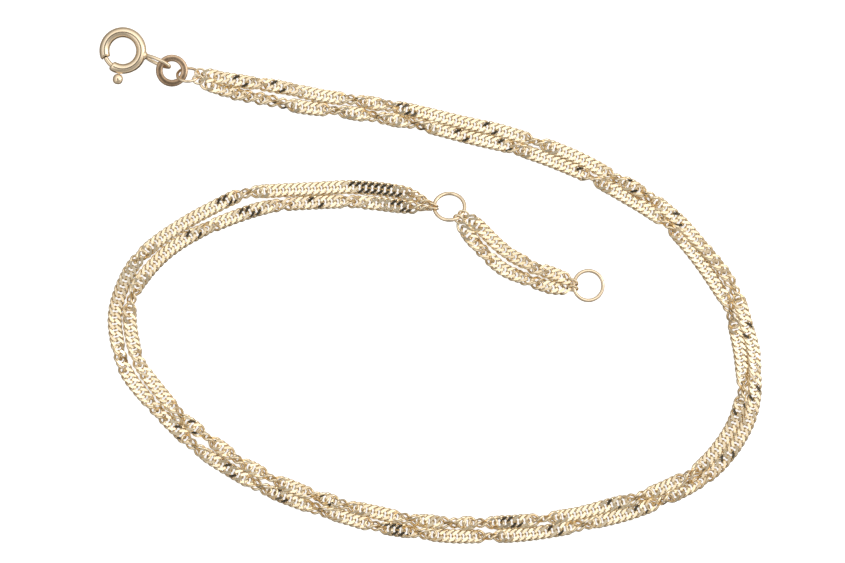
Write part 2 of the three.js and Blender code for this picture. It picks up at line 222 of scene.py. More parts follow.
INNER_LEANS = [
    (-24.4, 23, -45), (-22.3, 22.6, -32), (-20.7, 22.3, -52), (-18.6, 21.7, -38), (-15, 20.8, -13),
    (17.5, 13, -12), (36, -8, -12), (35.8, -14, -13), (35.2, -15.9, 13), (20, -25.7, 13),
    (-25, -18.3, 12), (-33, -10.8, 12), (-33.9, -8.9, 56), (-34.5, -6.9, 12), (-34.9, -4, 12),
    (-34.5, -0.8, 12), (-32.4, 2.3, -12), (-27.7, 5.9, -12), (-26.3, 6.7, -54), (-24.9, 7.3, -12),
    (-19.2, 9.1, -12), (-17.3, 9.4, -55), (-15.4, 9.6, -12), (-11, 9.8, -12), (-9.2, 9.9, -55),
    (-7.3, 9.7, -12), (-5, 9.5, 12),
]
UPPER_LEANS = [
    (5.8, 6.8, -28), (7.2, 5.4, -14), (9.2, 3.7, -30), (10.5, 3, -16), (12.2, 2, -55),
    (13.6, 1.6, -20),
]
LOWER_LEANS = [
    (4.7, 5.6, -14), (6.4, 3.7, -50), (8, 2.3, -14), (10.3, 1, -24), (12.1, 0.4, -55),
    (13.6, 0, -20),
]

# How far the inner strand's links lie over towards the outer strand, from place to place
INNER_DRIFTS = [
    (-14.7, 20.8, 0), (-6, 19.5, 0.12), (9.7, 15.9, 0.18), (25.6, 8.3, 0.3), (36.1, -9.9, 0.32),
    (31.6, -20.8, 0.25), (17, -26.6, 0.12), (-31.8, -12, 0.12), (-35, -2.9, 0.15), (-28.8, 5.3, 0),
]

# Gold: how fine its soft clouds of tone, its wear and its scratches are, how much they show, and how
# strong the shade painted on one side is
CLOUD_SCALE = 420.0
CLOUD_RANGE = (0.3, 0.62)
CLOUD_DEPTH = 0.00004
# How far the painted shade shifts a gold's tone towards its dark colour
PAINTED_SHADE_SHARE = 0.22
WEAR_SCALE = 2600.0
WEAR_RANGE = (0.75, 1.35)
SCRATCH_SCALE = (9000.0, 900.0, 2500.0)
SCRATCH_DIRECTION = (0.3, 0.2, 0.7)
SCRATCH_DEPTH = 0.00001

# The floor: a square sheet of matt white that also glows, so that it stays evenly white
FLOOR_HALF = 0.9
FLOOR_WHITE = 0.94
FLOOR_GLOW = 0.75

# The light tent: its brightness by height, from straight down at -1 to straight up at 1, on
# its dark side and on its light side
TENT_DARK_SIDE_STOPS = (
    (-1, 0.2), (-0.6, 0.05), (-0.12, 0.05), (0, 0.42), (0.12, 0.52), (0.3, 0.4), (0.5, 0.3),
    (0.8, 0.28), (0.9, 0.34), (0.95, 0.4), (0.97, 0.36), (0.984, 0.3), (0.988, 0.005), (1, 0.005),
)
TENT_LIGHT_SIDE_STOPS = (
    (-1, 0.3), (-0.15, 0.32), (0.12, 0.42), (0.3, 0.56), (0.5, 0.76), (0.78, 0.82), (0.86, 1.1),
    (0.93, 1.1), (0.955, 0.85), (0.97, 0.5), (0.984, 0.36), (0.988, 0.005), (1, 0.005),
)
TENT_DARK_SIDE = (0.3, -0.95, 0.0)
TENT_BRIGHT_SIDE = (1.0, 0.0, 0.0)
TENT_DIM = 0.84
TENT_BRIGHT = 1.8
TENT_SIDE_RANGE = (0.35, 0.8)
TENT_BRIGHT_RANGE = (-0.9, 0.9)
TENT_WARM_BELOW = 0.2
TENT_WARM_TONE = 0.84
TENT_COOL_TONE = 0.96

# A weak soft lamp on the right
KEY_PLACE = (0.5, 0.1, 0.28)
KEY_SIZE = 0.2
KEY_POWER = 0.25

# The camera stands straight above
CAMERA_AIM = (-0.881, 0.373)
CAMERA_HEIGHT = 460.0
PHOTO_WIDTH = 98.87
SENSOR_WIDTH = 36.0


# Vectors and curves
def unit(vector):
    vector = np.asarray(vector, float)
    return vector / np.linalg.norm(vector)


def unit_rows(vectors):
    return vectors / np.linalg.norm(vectors, axis=1)[:, None]


def turned(points, axis, degrees):
    return np.asarray(points) @ np.array(Matrix.Rotation(math.radians(degrees), 3, axis)).T


def on_circle(degrees, radius=1.0):
    angle = math.radians(degrees)
    return np.array((radius * math.cos(angle), radius * math.sin(angle), 0.0))


def smooth_step(share):
    share = np.clip(share, 0, 1)
    return share * share * (3 - 2 * share)


def spline(points, steps=24):
    """A centripetal Catmull-Rom curve through the points."""
    points = np.asarray(points, float)
    before = 2 * points[0] - points[1]
    after = 2 * points[-1] - points[-2]
    knots = np.vstack([before, points, after])
    share = np.linspace(0, 1, steps, endpoint=False)[:, None]
    pieces = []
    for i in range(1, len(knots) - 2):
        a, b, c, d = knots[i - 1:i + 3]
        first, middle, last = (math.sqrt(np.linalg.norm(q - p)) for p, q in ((a, b), (b, c), (c, d)))
        start = ((b - a) / first - (c - a) / (first + middle) + (c - b) / middle) * middle
        end = ((c - b) / middle - (d - b) / (middle + last) + (d - c) / last) * middle
        square = -3 * b + 3 * c - 2 * start - end
        cube = 2 * b - 2 * c + start + end
        pieces.append(b + start * share + square * share ** 2 + cube * share ** 3)
    return np.vstack(pieces + [points[-1:]])


def lengths_along(line):
    steps = np.linalg.norm(np.diff(line, axis=0), axis=1)
    return np.concatenate([[0], np.cumsum(steps)])


def at_lengths(line, lengths, where):
    return np.stack([np.interp(where, lengths, line[:, i]) for i in range(line.shape[1])], axis=1)


def neighbours(values, reach):
    """For each value, those up to so many steps before and after it, stacked."""
    padded = np.pad(values, reach, mode="edge")
    return np.stack([padded[i:i + len(values)] for i in range(2 * reach + 1)])


# Meshes
def frame_shift():
    """How far the frame's origin lies from the middle that the places above are measured from."""
    low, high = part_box("middle_ring")
    middle = [(low[i] + high[i]) / 2 for i in range(2)]
    return np.array((middle[0] / MM - MIDDLE_CENTRE[0], middle[1] / MM - MIDDLE_CENTRE[1], 0.0))


SHIFT = frame_shift()


def grid_faces(rows, columns, close_rows, close_columns):
    """The quads of a grid of points, counted row by row."""
    last_row = rows if close_rows else rows - 1
    last_column = columns if close_columns else columns - 1
    i, j = np.meshgrid(np.arange(last_row), np.arange(last_column), indexing="ij")
    below = (i + 1) % rows
    beside = (j + 1) % columns
    corners = [i * columns + j, i * columns + beside, below * columns + beside, below * columns + j]
    return np.stack(corners, axis=-1).reshape(-1, 4)


def capped_faces(rows, columns):
    """The quads of a round bar made of rows of points, with a face over each end."""
    faces = [tuple(face) for face in grid_faces(rows, columns, False, True)]
    faces.append(tuple(range(columns - 1, -1, -1)))
    faces.append(tuple(range((rows - 1) * columns, rows * columns)))
    return faces


def piece(name, points, faces, material, body, sharp_deg=None):
    mesh = bpy.data.meshes.new(name)
    points = (np.asarray(points, float) + SHIFT) * MM
    mesh.from_pydata(points.tolist(), [], [tuple(face) for face in faces])
    mesh.validate()
    mesh.update()
    mesh.polygons.foreach_set("use_smooth", np.ones(len(mesh.polygons), bool))
    if sharp_deg is not None:
        mesh.set_sharp_from_angle(angle=math.radians(sharp_deg))
    mesh.materials.append(material)
    made = bpy.data.objects.new(name, mesh)
    bpy.context.scene.collection.objects.link(made)
    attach(made, body)
    return made


def wire_along(centres, outward, wire, sides, closed=True, thin=None):
    """Points of a round wire that follows a line of centres, ring by ring."""
    if closed:
        along = np.roll(centres, -1, axis=0) - np.roll(centres, 1, axis=0)
    else:
        along = np.gradient(centres, axis=0)
    along = unit_rows(along)
    side = unit_rows(outward - (outward * along).sum(axis=1)[:, None] * along)
    up = np.cross(along, side)
    angle = np.linspace(0, 2 * math.pi, sides, endpoint=False)[None, :, None]
    rim = np.cos(angle) * side[:, None, :] + np.sin(angle) * up[:, None, :]
    size = np.ones(len(centres)) if thin is None else thin
    return (centres[:, None, :] + wire / 2 * size[:, None, None] * rim).reshape(-1, 3)


def oval_wire(length, width, wire, segments, sides, seam_deg=None):
    """A closed wire loop in the xy plane, with a fine groove where its ends were soldered."""
    long = (length - wire) / 2
    wide = (width - wire) / 2
    angle = np.linspace(0, 2 * math.pi, segments, endpoint=False)
    thin = np.ones(segments)
    if seam_deg is not None:
        seam = math.radians(seam_deg)
        half = SEAM_WIDTH / (length + width) * 2
        extra = seam + half * np.array((-2.0, -1.0, -0.5, 0.0, 0.5, 1.0, 2.0))
        away = np.abs((angle - seam + math.pi) % (2 * math.pi) - math.pi)
        angle = np.sort(np.concatenate([angle[away > 3 * half], extra % (2 * math.pi)]))
        away = np.abs((angle - seam + math.pi) % (2 * math.pi) - math.pi)
        thin = np.where(away < 0.8 * half, SEAM_THINNING, 1.0)
    centres = np.stack([long * np.cos(angle), wide * np.sin(angle), 0 * angle], axis=1)
    outward = np.stack([wide * np.cos(angle), long * np.sin(angle), 0 * angle], axis=1)
    points = wire_along(centres, outward, wire, sides, thin=thin)
    return points, grid_faces(len(angle), sides, True, True)


def together(*parts):
    """Several meshes as one."""
    points = []
    faces = []
    count = 0
    for some_points, some_faces in parts:
        points.append(some_points)
        faces += [tuple(int(i) + count for i in face) for face in some_faces]
        count += len(some_points)
    return np.vstack(points), faces


# Materials
def node(material, kind, **inputs):
    """A new shader node with these input values."""
    made = material.node_tree.nodes.new(kind)
    for name, value in inputs.items():
        made.inputs[name.replace("_", " ")].default_value = value
    return made


def gold(name, colour, dark, roughness, bump, scratches, painted_shade_side=None):
    """Polished gold: soft cloudy changes of tone, fine wear lines and a little unevenness.

    With a painted shade side, a direction and two distances along it, shade is also painted into the
    tone, darker that way.
    """
    material = bpy.data.materials.new(name)
    material.use_nodes = True
    links = material.node_tree.links
    shader = material.node_tree.nodes["Principled BSDF"]
    shader.inputs["Metallic"].default_value = 1.0
    place = node(material, "ShaderNodeTexCoord")

    cloud = node(material, "ShaderNodeTexNoise", Scale=CLOUD_SCALE, Detail=3.0, Roughness=0.55)
    links.new(place.outputs["Object"], cloud.inputs["Vector"])
    tone = node(material, "ShaderNodeValToRGB")
    for element, position, shade in zip(tone.color_ramp.elements, CLOUD_RANGE, (dark, colour)):
        element.position = position
        element.color = (*shade, 1)
    if painted_shade_side is None:
        links.new(cloud.outputs["Fac"], tone.inputs["Fac"])
    else:
        # Painted shade: the tone is shifted towards the dark colour along the given direction
        direction, low, high = painted_shade_side
        along = node(material, "ShaderNodeVectorMath")
        along.operation = "DOT_PRODUCT"
        along.inputs[1].default_value = direction
        links.new(place.outputs["Object"], along.inputs[0])
        share = node(material, "ShaderNodeMapRange")
        share.inputs["From Min"].default_value = low
        share.inputs["From Max"].default_value = high
        share.inputs["To Min"].default_value = PAINTED_SHADE_SHARE
        share.inputs["To Max"].default_value = -PAINTED_SHADE_SHARE
        links.new(along.outputs["Value"], share.inputs["Value"])
        both = node(material, "ShaderNodeMath")
        links.new(cloud.outputs["Fac"], both.inputs[0])
        links.new(share.outputs["Result"], both.inputs[1])
        links.new(both.outputs["Value"], tone.inputs["Fac"])
    links.new(tone.outputs["Color"], shader.inputs["Base Color"])

    wear = node(material, "ShaderNodeTexNoise", Scale=WEAR_SCALE, Detail=4.0, Roughness=0.6)
    links.new(place.outputs["Object"], wear.inputs["Vector"])
    shine = node(material, "ShaderNodeMapRange")
    shine.inputs["To Min"].default_value = roughness * WEAR_RANGE[0]
    shine.inputs["To Max"].default_value = roughness * WEAR_RANGE[1]
    links.new(wear.outputs["Fac"], shine.inputs["Value"])
    links.new(shine.outputs["Result"], shader.inputs["Roughness"])

    stretch = node(material, "ShaderNodeMapping", Scale=SCRATCH_SCALE, Rotation=SCRATCH_DIRECTION)
    links.new(place.outputs["Object"], stretch.inputs["Vector"])
    lines = node(material, "ShaderNodeTexNoise", Scale=1.0, Detail=2.0)
    links.new(stretch.outputs["Vector"], lines.inputs["Vector"])
    fine = node(material, "ShaderNodeBump", Strength=scratches, Distance=SCRATCH_DEPTH)
    links.new(lines.outputs["Fac"], fine.inputs["Height"])
    broad = node(material, "ShaderNodeBump", Strength=bump, Distance=CLOUD_DEPTH)
    links.new(cloud.outputs["Fac"], broad.inputs["Height"])
    links.new(broad.outputs["Normal"], fine.inputs["Normal"])
    links.new(fine.outputs["Normal"], shader.inputs["Normal"])
    return material


CHAIN_GOLD = gold("chain_gold", (0.96, 0.83, 0.60), (0.91, 0.745, 0.50),
                  roughness=0.14, bump=0.12, scratches=0.1)
RING_GOLD = gold("polished_gold", (0.96, 0.80, 0.58), (0.89, 0.715, 0.49),
                 roughness=0.17, bump=0.16, scratches=0.1)
# The tag ring's worn gold also has painted shade: its tone is painted darker towards -x and -y, across
# the ring's width
TAG_MIDDLE = (np.array((*TAG_CENTRE, 0.0)) + SHIFT) @ np.array(TAG_PAINTED_SHADE_SIDE) * MM
TAG_REACH = TAG_OUTER / 2 * MM
TAG_GOLD = gold("worn_gold", (0.70, 0.51, 0.345), (0.41, 0.285, 0.18),
                roughness=0.24, bump=0.9, scratches=0.4,
                painted_shade_side=(TAG_PAINTED_SHADE_SIDE, TAG_MIDDLE - TAG_REACH, TAG_MIDDLE + TAG_REACH))


# Spring-ring clasp
CLASP_RADIUS = (CLASP_OUTER - CLASP_TUBE) / 2


def placed_on_clasp(points):
    return np.asarray(points) + np.array((*CLASP_CENTRE, CLASP_TUBE / 2))


def clasp_tube():
    """The hollow tube with its open mouth and the slot that the trigger slides in."""
    half_slot = KNOB_NECK / 2 + SLOT_PLAY
    slot_side = math.degrees(math.asin(half_slot / (CLASP_TUBE / 2)))
    slot_end = math.degrees(half_slot / (CLASP_OUTER / 2))
    slot_from = KNOB_DEG - slot_end
    slot_to = KNOB_DEG + TRIGGER_TRAVEL_DEG + slot_end
    start = MOUTH_TO_DEG
    stop = MOUTH_FROM_DEG + 360
    cap_deg = math.degrees(TUBE_CAP_LENGTH / CLASP_RADIUS)
    cap = cap_deg * (1 - np.cos(np.linspace(0, math.pi / 2, 9)))
    stations = np.concatenate([
        start + cap[:-1],
        np.linspace(start + cap_deg, slot_from, 7)[:-1],
        np.linspace(slot_from, slot_to, 15)[:-1],
        np.linspace(slot_to, stop - cap_deg, 80)[:-1],
        stop - cap[::-1],
    ])
    slot_columns = 4
    rim = np.radians(np.concatenate([
        np.linspace(-slot_side, slot_side, slot_columns + 1)[:-1],
        np.linspace(slot_side, 360 - slot_side, 29)[:-1],
    ]))
    points = []
    for station in stations:
        from_end = min(station - start, stop - station) / cap_deg
        narrowed = TUBE_CAP_DEPTH * (1 - math.sqrt(1 - max(0.0, 1 - from_end) ** 2))
        to_mouth = (station - stop + TUBE_SCALLOP_REACH_DEG) / TUBE_SCALLOP_REACH_DEG
        scallop = TUBE_SCALLOP_DEG * smooth_step(to_mouth)
        outer = CLASP_TUBE / 2 - narrowed
        for radius in (outer, min(CLASP_BORE / 2, outer - TUBE_LEAST_WALL)):
            for angle in rim:
                out = on_circle(station - scallop * math.sin(angle) ** 2)
                up = np.array((0.0, 0.0, math.sin(angle)))
                points.append(out * (CLASP_RADIUS + radius * math.cos(angle)) + radius * up)
    count = len(rim)
    row = 2 * count
    faces = []
    hair = 1e-6
    open_rows = [i for i, s in enumerate(stations[:-1]) if slot_from - hair <= s < slot_to - hair]
    for i in range(len(stations) - 1):
        for j in range(count):
            if i in open_rows and j < slot_columns:
                continue
            k = (j + 1) % count
            here, there = i * row, (i + 1) * row
            faces.append((here + j, here + k, there + k, there + j))
            here, there = here + count, there + count
            faces.append((here + k, here + j, there + j, there + k))
    for i in open_rows:
        here, there = i * row, (i + 1) * row
        faces.append((here, there, there + count, here + count))
        here += slot_columns
        there += slot_columns
        faces.append((here, here + count, there + count, there))
    for j in range(slot_columns):
        here = open_rows[0] * row
        there = (open_rows[-1] + 1) * row
        faces.append((here + j, here + j + count, here + j + 1 + count, here + j + 1))
        faces.append((there + j, there + j + 1, there + j + 1 + count, there + j + count))
    last = (len(stations) - 1) * row
    for j in range(count):
        k = (j + 1) % count
        faces.append((j, j + count, k + count, k))
        faces.append((last + j, last + k, last + k + count, last + j + count))
    return np.array(points), faces


def clasp_eye():
    points, faces = oval_wire(EYE_LENGTH, EYE_WIDTH, EYE_WIRE, 96, 16)
    points = points + np.array((EYE_LENGTH / 2, 0, 0))
    points = turned(points, "X", EYE_ROLL_DEG)
    points = turned(points, "Y", -EYE_PITCH_DEG)
    points = turned(points, "Z", EYE_TURN_DEG)
    return points + on_circle(EYE_DEG, CLASP_OUTER / 2 - EYE_SOLDER), faces


def solder():
    """The low mound of solder that joins the eye to the tube."""
    sides = 28
    around = np.linspace(0, 2 * math.pi, sides, endpoint=False)
    rings = []
    for height, radius in SOLDER_LEVELS:
        wide = radius * np.cos(around)
        thick = SOLDER_FLATTENING * radius * np.sin(around)
        rings.append(np.stack([height + 0 * around, wide, thick], axis=1))
    points = turned(np.vstack(rings), "Z", EYE_DEG)
    return points + on_circle(EYE_DEG, CLASP_OUTER / 2 - SOLDER_DEPTH), capped_faces(len(rings), sides)


def clasp_ring():
    points, faces = together(clasp_tube(), clasp_eye(), solder())
    made = piece("clasp_ring_fine", placed_on_clasp(points), faces, RING_GOLD, "anklet",
                 sharp_deg=40)
    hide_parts("clasp_ring")


def clasp_bolt():
    """The curved bolt with a rounded tip, its neck and the button on it."""
    tip = MOUTH_FROM_DEG - BOLT_OVERLAP_DEG
    tail = KNOB_DEG + BOLT_TAIL_DEG
    rows, sides = 40, 20
    stations = np.linspace(tip, tail, rows)
    centres = np.array([on_circle(s, CLASP_RADIUS) for s in stations])
    outward = np.array([on_circle(s) for s in stations])
    size = np.ones(rows)
    size[:len(BOLT_TIP_SHARES)] = BOLT_TIP_SHARES
    size[-len(BOLT_TAIL_SHARES):] = BOLT_TAIL_SHARES
    points = wire_along(centres, outward, BOLT_DIAMETER, sides, closed=False, thin=size)
    bolt = (points, capped_faces(rows, sides))

    knob_centre = CLASP_OUTER / 2 + KNOB_CLEARANCE + KNOB_DIAMETER / 2
    rows, sides = 21, 32
    around = np.linspace(0, 2 * math.pi, sides, endpoint=False)
    rings = []
    for angle in np.linspace(-0.49, 0.49, rows) * math.pi:
        full = math.cos(angle) ** KNOB_FULLNESS
        along = KNOB_DIAMETER / 2 * math.sin(angle) + 0 * around
        wide = KNOB_DIAMETER / 2 * full * np.cos(around)
        thick = KNOB_THICKNESS / 2 * full * np.sin(around)
        rings.append(np.stack([along, wide, thick], axis=1))
    points = np.vstack(rings) + np.array((knob_centre, 0, 0))
    knob = (turned(points, "Z", KNOB_DEG), capped_faces(rows, sides))

    rows, sides = 12, 16
    steps = np.linspace(CLASP_RADIUS, knob_centre, rows)
    flare_from = (CLASP_OUTER + KNOB_CLEARANCE) / 2
    flare = 1 + NECK_FLARE * smooth_step((steps - flare_from) / NECK_FLARE_LENGTH)
    centres = np.stack([steps, 0 * steps, 0 * steps], axis=1)
    outward = np.tile((0.0, 1.0, 0.0), (rows, 1))
    points = wire_along(centres, outward, KNOB_NECK, sides, closed=False, thin=flare)
    neck = (turned(points, "Z", KNOB_DEG), capped_faces(rows, sides))

    points, faces = together(bolt, knob, neck)
    made = piece("clasp_bolt_fine", placed_on_clasp(points), faces, RING_GOLD, "bolt",
                 sharp_deg=50)
    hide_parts("clasp_bolt")


# Rings
def tag_ring():
    """The flat ring with a softly domed face, left bare."""
    middle = (TAG_OUTER + TAG_HOLE) / 4
    half_width = (TAG_OUTER - TAG_HOLE) / 4
    half_height = TAG_THICKNESS / 2
    segments, sides = 96, 28

    def squarer(value):
        return math.copysign(abs(value) ** TAG_SQUARENESS, value)

    profile = np.array([
        (middle + half_width * squarer(math.cos(angle)), half_height * squarer(math.sin(angle)))
        for angle in np.linspace(0, 2 * math.pi, sides, endpoint=False)
    ])
    around = np.linspace(0, 2 * math.pi, segments, endpoint=False)[:, None]
    points = np.stack([
        np.cos(around) * profile[None, :, 0],
        np.sin(around) * profile[None, :, 0],
        np.tile(profile[:, 1], (segments, 1)),
    ], axis=-1).reshape(-1, 3)
    points = points + np.array((*TAG_CENTRE, TAG_HEIGHT))
    made = piece("tag_ring_fine", points, grid_faces(segments, sides, True, True), TAG_GOLD,
                 "anklet", sharp_deg=40)
    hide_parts("tag_ring")


def ring_frame(outer, wire, centre, axis, tilt_deg):
    """Where a tilted wire ring stands with its lowest point on the floor."""
    radius = (outer - wire) / 2
    height = wire / 2 + radius * abs(math.sin(math.radians(tilt_deg)))
    turn = np.array(Matrix.Rotation(math.radians(tilt_deg), 3, axis))
    return {"radius": radius, "wire": wire, "turn": turn, "centre": np.array((*centre, height))}


JUMP = ring_frame(JUMP_OUTER, JUMP_WIRE, JUMP_CENTRE, "X", JUMP_TILT_DEG)
MIDDLE = ring_frame(MIDDLE_OUTER, MIDDLE_WIRE, MIDDLE_CENTRE, "X", MIDDLE_TILT_DEG)
END = ring_frame(END_OUTER, END_WIRE, END_CENTRE, "Y", END_TILT_DEG)


def wire_ring(name, ring, seam_deg):
    size = 2 * ring["radius"] + ring["wire"]
    points, faces = oval_wire(size, size, ring["wire"], 112, 18, seam_deg=seam_deg)
    points = points @ ring["turn"].T + ring["centre"]
    made = piece(name + "_fine", points, faces, RING_GOLD, "anklet", sharp_deg=60)
    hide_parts(name)


# Chain strands. A roll of 0 lies flat, 90 stands on its edge.
def end_link(ring, degrees, turn_deg, towards):
    """The plain link that holds a ring: its mesh, its place, and how it slopes and is rolled."""
    held = ring["turn"] @ on_circle(degrees, ring["radius"]) + ring["centre"]
    along_wire = ring["turn"] @ on_circle(degrees + 90)
    away = unit(np.array((*towards, LINK_AIM_HEIGHT)) - held)
    inner_half = LINK_LENGTH / 2 - LINK_WIRE
    middle = held + away * (inner_half - ring["wire"] / 2 - LINK_PLAY)
    across = unit(np.cross(away, along_wire))
    normal = unit(np.cross(away, across))
    turn = math.radians(turn_deg)
    wide = math.cos(turn) * across + math.sin(turn) * normal
    thick = math.cos(turn) * normal - math.sin(turn) * across
    points, faces = oval_wire(LINK_LENGTH, LINK_WIDTH, LINK_WIRE, 40, 12)
    points = points @ np.stack([away, wide, thick]) + middle
    side = unit(np.cross((0, 0, 1), away))
    up = np.cross(away, side)
    return {
        "mesh": (points, faces),
        "middle": middle,
        "tube_end": middle + away * (LINK_LENGTH / 2 - LINK_GRIP),
        "slope": away[2] / np.hypot(*away[:2]),
        "roll": math.degrees(math.atan2(wide @ up, wide @ side)),
    }


def curb_link():
    """One link at the origin: an oval twisted along its length, with flats cut on both faces."""
    angle = np.linspace(0, 2 * math.pi, CURB_SEGMENTS, endpoint=False)

    def oval(values):
        lean = -math.radians(CURB_TWIST_DEG) * np.cos(values)
        long = CURB_HALF_LENGTH * np.cos(values)
        wide = CURB_HALF_WIDTH * np.sin(values)
        return np.stack([long, wide * np.cos(lean), wide * np.sin(lean)], axis=1)

    centres = oval(angle)
    points = wire_along(centres, centres, CURB_WIRE, CURB_SIDES)
    points[:, 2] = np.clip(points[:, 2], -CURB_CUT_HEIGHT, CURB_CUT_HEIGHT)
    return points, grid_faces(CURB_SEGMENTS, CURB_SIDES, True, True)


def placed_at(line, lengths, rows):
    """How far along the line each row's place is, with what else the row holds."""
    found = []
    for x, y, *rest in rows:
        distance = np.hypot(line[:, 0] - x, line[:, 1] - y)
        place = lengths[int(np.argmin(distance))]
        found.append((place, *rest) if rest else place)
    return found


def rolls_along(where, edges, leans):
    """The ribbon's roll in degrees: half a turn at each edge, and the leans between."""
    places, degrees = zip(*leans)
    roll = np.interp(where, places, degrees)
    for edge in edges:
        roll -= 180 * np.clip((where - edge) / EDGE_TURN_LENGTH + 0.5, 0, 1)
    return neighbours(roll, ROLL_SMOOTHING_STEPS).mean(axis=0)


def made_level(stops, roll, levels):
    """The links' rolls, with those nearest to each level place set flat and no others nearly flat."""
    off = (roll + 90) % 180 - 90
    roll = roll + np.copysign(np.maximum(LEVEL_KEPT_OFF_DEG - np.abs(off), 0), off)
    pitch = stops[1] - stops[0]
    for middle, count in levels:
        half = (count - 1) / 2
        place = stops[0] + pitch * (round((middle - stops[0]) / pitch - half) + half)
        level = 180 * round(np.interp(place, stops, roll) / 180)
        beyond = np.abs(stops - place) - half * pitch - LEVEL_MARGIN
        share = 1 - smooth_step(beyond / LEVEL_BLEND)
        roll = roll + share * (level - roll)
    return roll


def joining_roll(target, bow_lean, link_roll):
    """The roll nearest to the target that sets a curb link's bow well across the link that holds it."""
    apart = (target + bow_lean - link_roll + 90) % 180 - 90
    short = max(0.0, END_CROSSING_DEG - abs(apart))
    return target + math.copysign(short, apart)


def lying_height(where, roll):
    """How high the middle of the ribbon lies, so that no edge of it goes below the floor."""
    half_width = CURB_HALF_WIDTH + CURB_WIRE / 2
    angle = np.radians(roll)
    need = np.hypot(half_width * np.sin(angle), CURB_CUT_HEIGHT * np.cos(angle))
    reach = int(round(CURB_HALF_LENGTH / (where[1] - where[0])))
    highest = neighbours(need, reach).max(axis=0)
    return neighbours(highest, reach).mean(axis=0)


def strand_line(start, end, route, drifts):
    """The strand's line as seen from above, from the middle of one end link to the other's."""
    line = spline([
        start["middle"][:2], start["tube_end"][:2], *route, end["tube_end"][:2], end["middle"][:2]])
    if drifts:
        lengths = lengths_along(line)
        places, shifts = zip(*placed_at(line, lengths, drifts))
        forward = unit_rows(np.gradient(line, axis=0))
        shift = np.interp(lengths, places, shifts)
        line = line + shift[:, None] * np.stack([-forward[:, 1], forward[:, 0]], axis=1)
    return line


def near_ends(where, total, reach, first=0.0):
    """How near each length is to the start and to the end: 1 there, 0 beyond the reach."""
    near_start = 1 - smooth_step((where - first) / reach)
    near_end = 1 - smooth_step((total - first - where) / reach)
    return near_start, near_end


def joined_rolls(roll, near_start, near_end, start, end, end_rolls):
    """The ribbon's rolls, led at both ends into those that suit the links there."""
    first = joining_roll(end_rolls[0], CURB_TWIST_DEG, start["roll"])
    last = joining_roll(end_rolls[1], -CURB_TWIST_DEG, -end["roll"])
    first += 180 * round((roll[0] - first) / 180)
    last += 180 * round((roll[-1] - last) / 180)
    return roll + near_start * (first - roll) + near_end * (last - roll)


def raised_ends(height, where, total, rise_start, rise_end, start, end):
    """The ribbon's heights, lifted at both ends to the links there."""
    from_start = np.maximum(start["middle"][2] + start["slope"] * where, height)
    from_end = np.maximum(end["middle"][2] + end["slope"] * (total - where), height)
    return height + rise_start * (from_start - height) + rise_end * (from_end - height)


def link_axes(forward, rolls):
    """The three directions of each link: along, across its width and through its thickness."""
    forward = unit_rows(forward)
    side = unit_rows(np.cross((0.0, 0.0, 1.0), forward))
    up = np.cross(forward, side)
    angle = np.radians(rolls)[:, None]
    wide = np.cos(angle) * side + np.sin(angle) * up
    thick = np.cos(angle) * up - np.sin(angle) * side
    return np.stack([forward, wide, thick], axis=1)


def strand(name, rings, holds, turns, route, end_rolls, leans, edges=(), levels=(), drifts=()):
    """A ribbon of curb links from one ring to another, with a plain link at each end."""
    start = end_link(rings[0], holds[0], turns[0], route[0])
    end = end_link(rings[1], holds[1], turns[1], route[-1])
    line = strand_line(start, end, route, drifts)
    lengths = lengths_along(line)
    total = lengths[-1]
    where = np.arange(0, total, ROUTE_STEP)

    near_start, near_end = near_ends(where, total, END_LEAD_IN, CURB_FIRST)
    roll = rolls_along(where, placed_at(line, lengths, edges), placed_at(line, lengths, leans))
    roll = joined_rolls(roll, near_start, near_end, start, end, end_rolls)

    rise_start, rise_end = near_ends(where, total, END_LIFT_LENGTH)
    height = lying_height(where, roll)
    height = raised_ends(height, where, total, rise_start, rise_end, start, end)
    path = np.column_stack([at_lengths(line, lengths, where), height])
    along = np.gradient(path, axis=0)
    # Only the lifted ends of the ribbon slope
    along[:, 2] *= np.clip(rise_start + rise_end, 0, 1)

    count = int(round((total - 2 * CURB_FIRST) / CURB_PITCH)) + 1
    stops = np.linspace(CURB_FIRST, total - CURB_FIRST, count)
    rolls = made_level(stops, np.interp(stops, where, roll), placed_at(line, lengths, levels))
    free = 1 - np.interp(stops, where, near_start + near_end)
    # Links that stand on their edge lean to one side and the other by turns
    on_edge = np.sin(np.radians(rolls)) ** 2
    rolls += EDGE_LOOSENESS_DEG * free * on_edge * np.where(np.arange(count) % 2, 1, -1)

    link_points, link_faces = curb_link()
    axes = link_axes(at_lengths(along, where, stops), rolls)
    middles = at_lengths(path, where, stops)
    points = np.einsum("pk,nkd->npd", link_points, axes) + middles[:, None, :]
    # No link goes below the floor
    points[:, :, 2] -= np.minimum(points[:, :, 2].min(axis=1), 0)[:, None]
    faces = link_faces[None] + (np.arange(count) * len(link_points))[:, None, None]
    links = (points.reshape(-1, 3), faces.reshape(-1, 4))
    points, faces = together(links, start["mesh"], end["mesh"])
    made = piece(name + "_links", points, faces, CHAIN_GOLD, "anklet")
    mark_cut_edges(made.data, link_points, count)
    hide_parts(name)


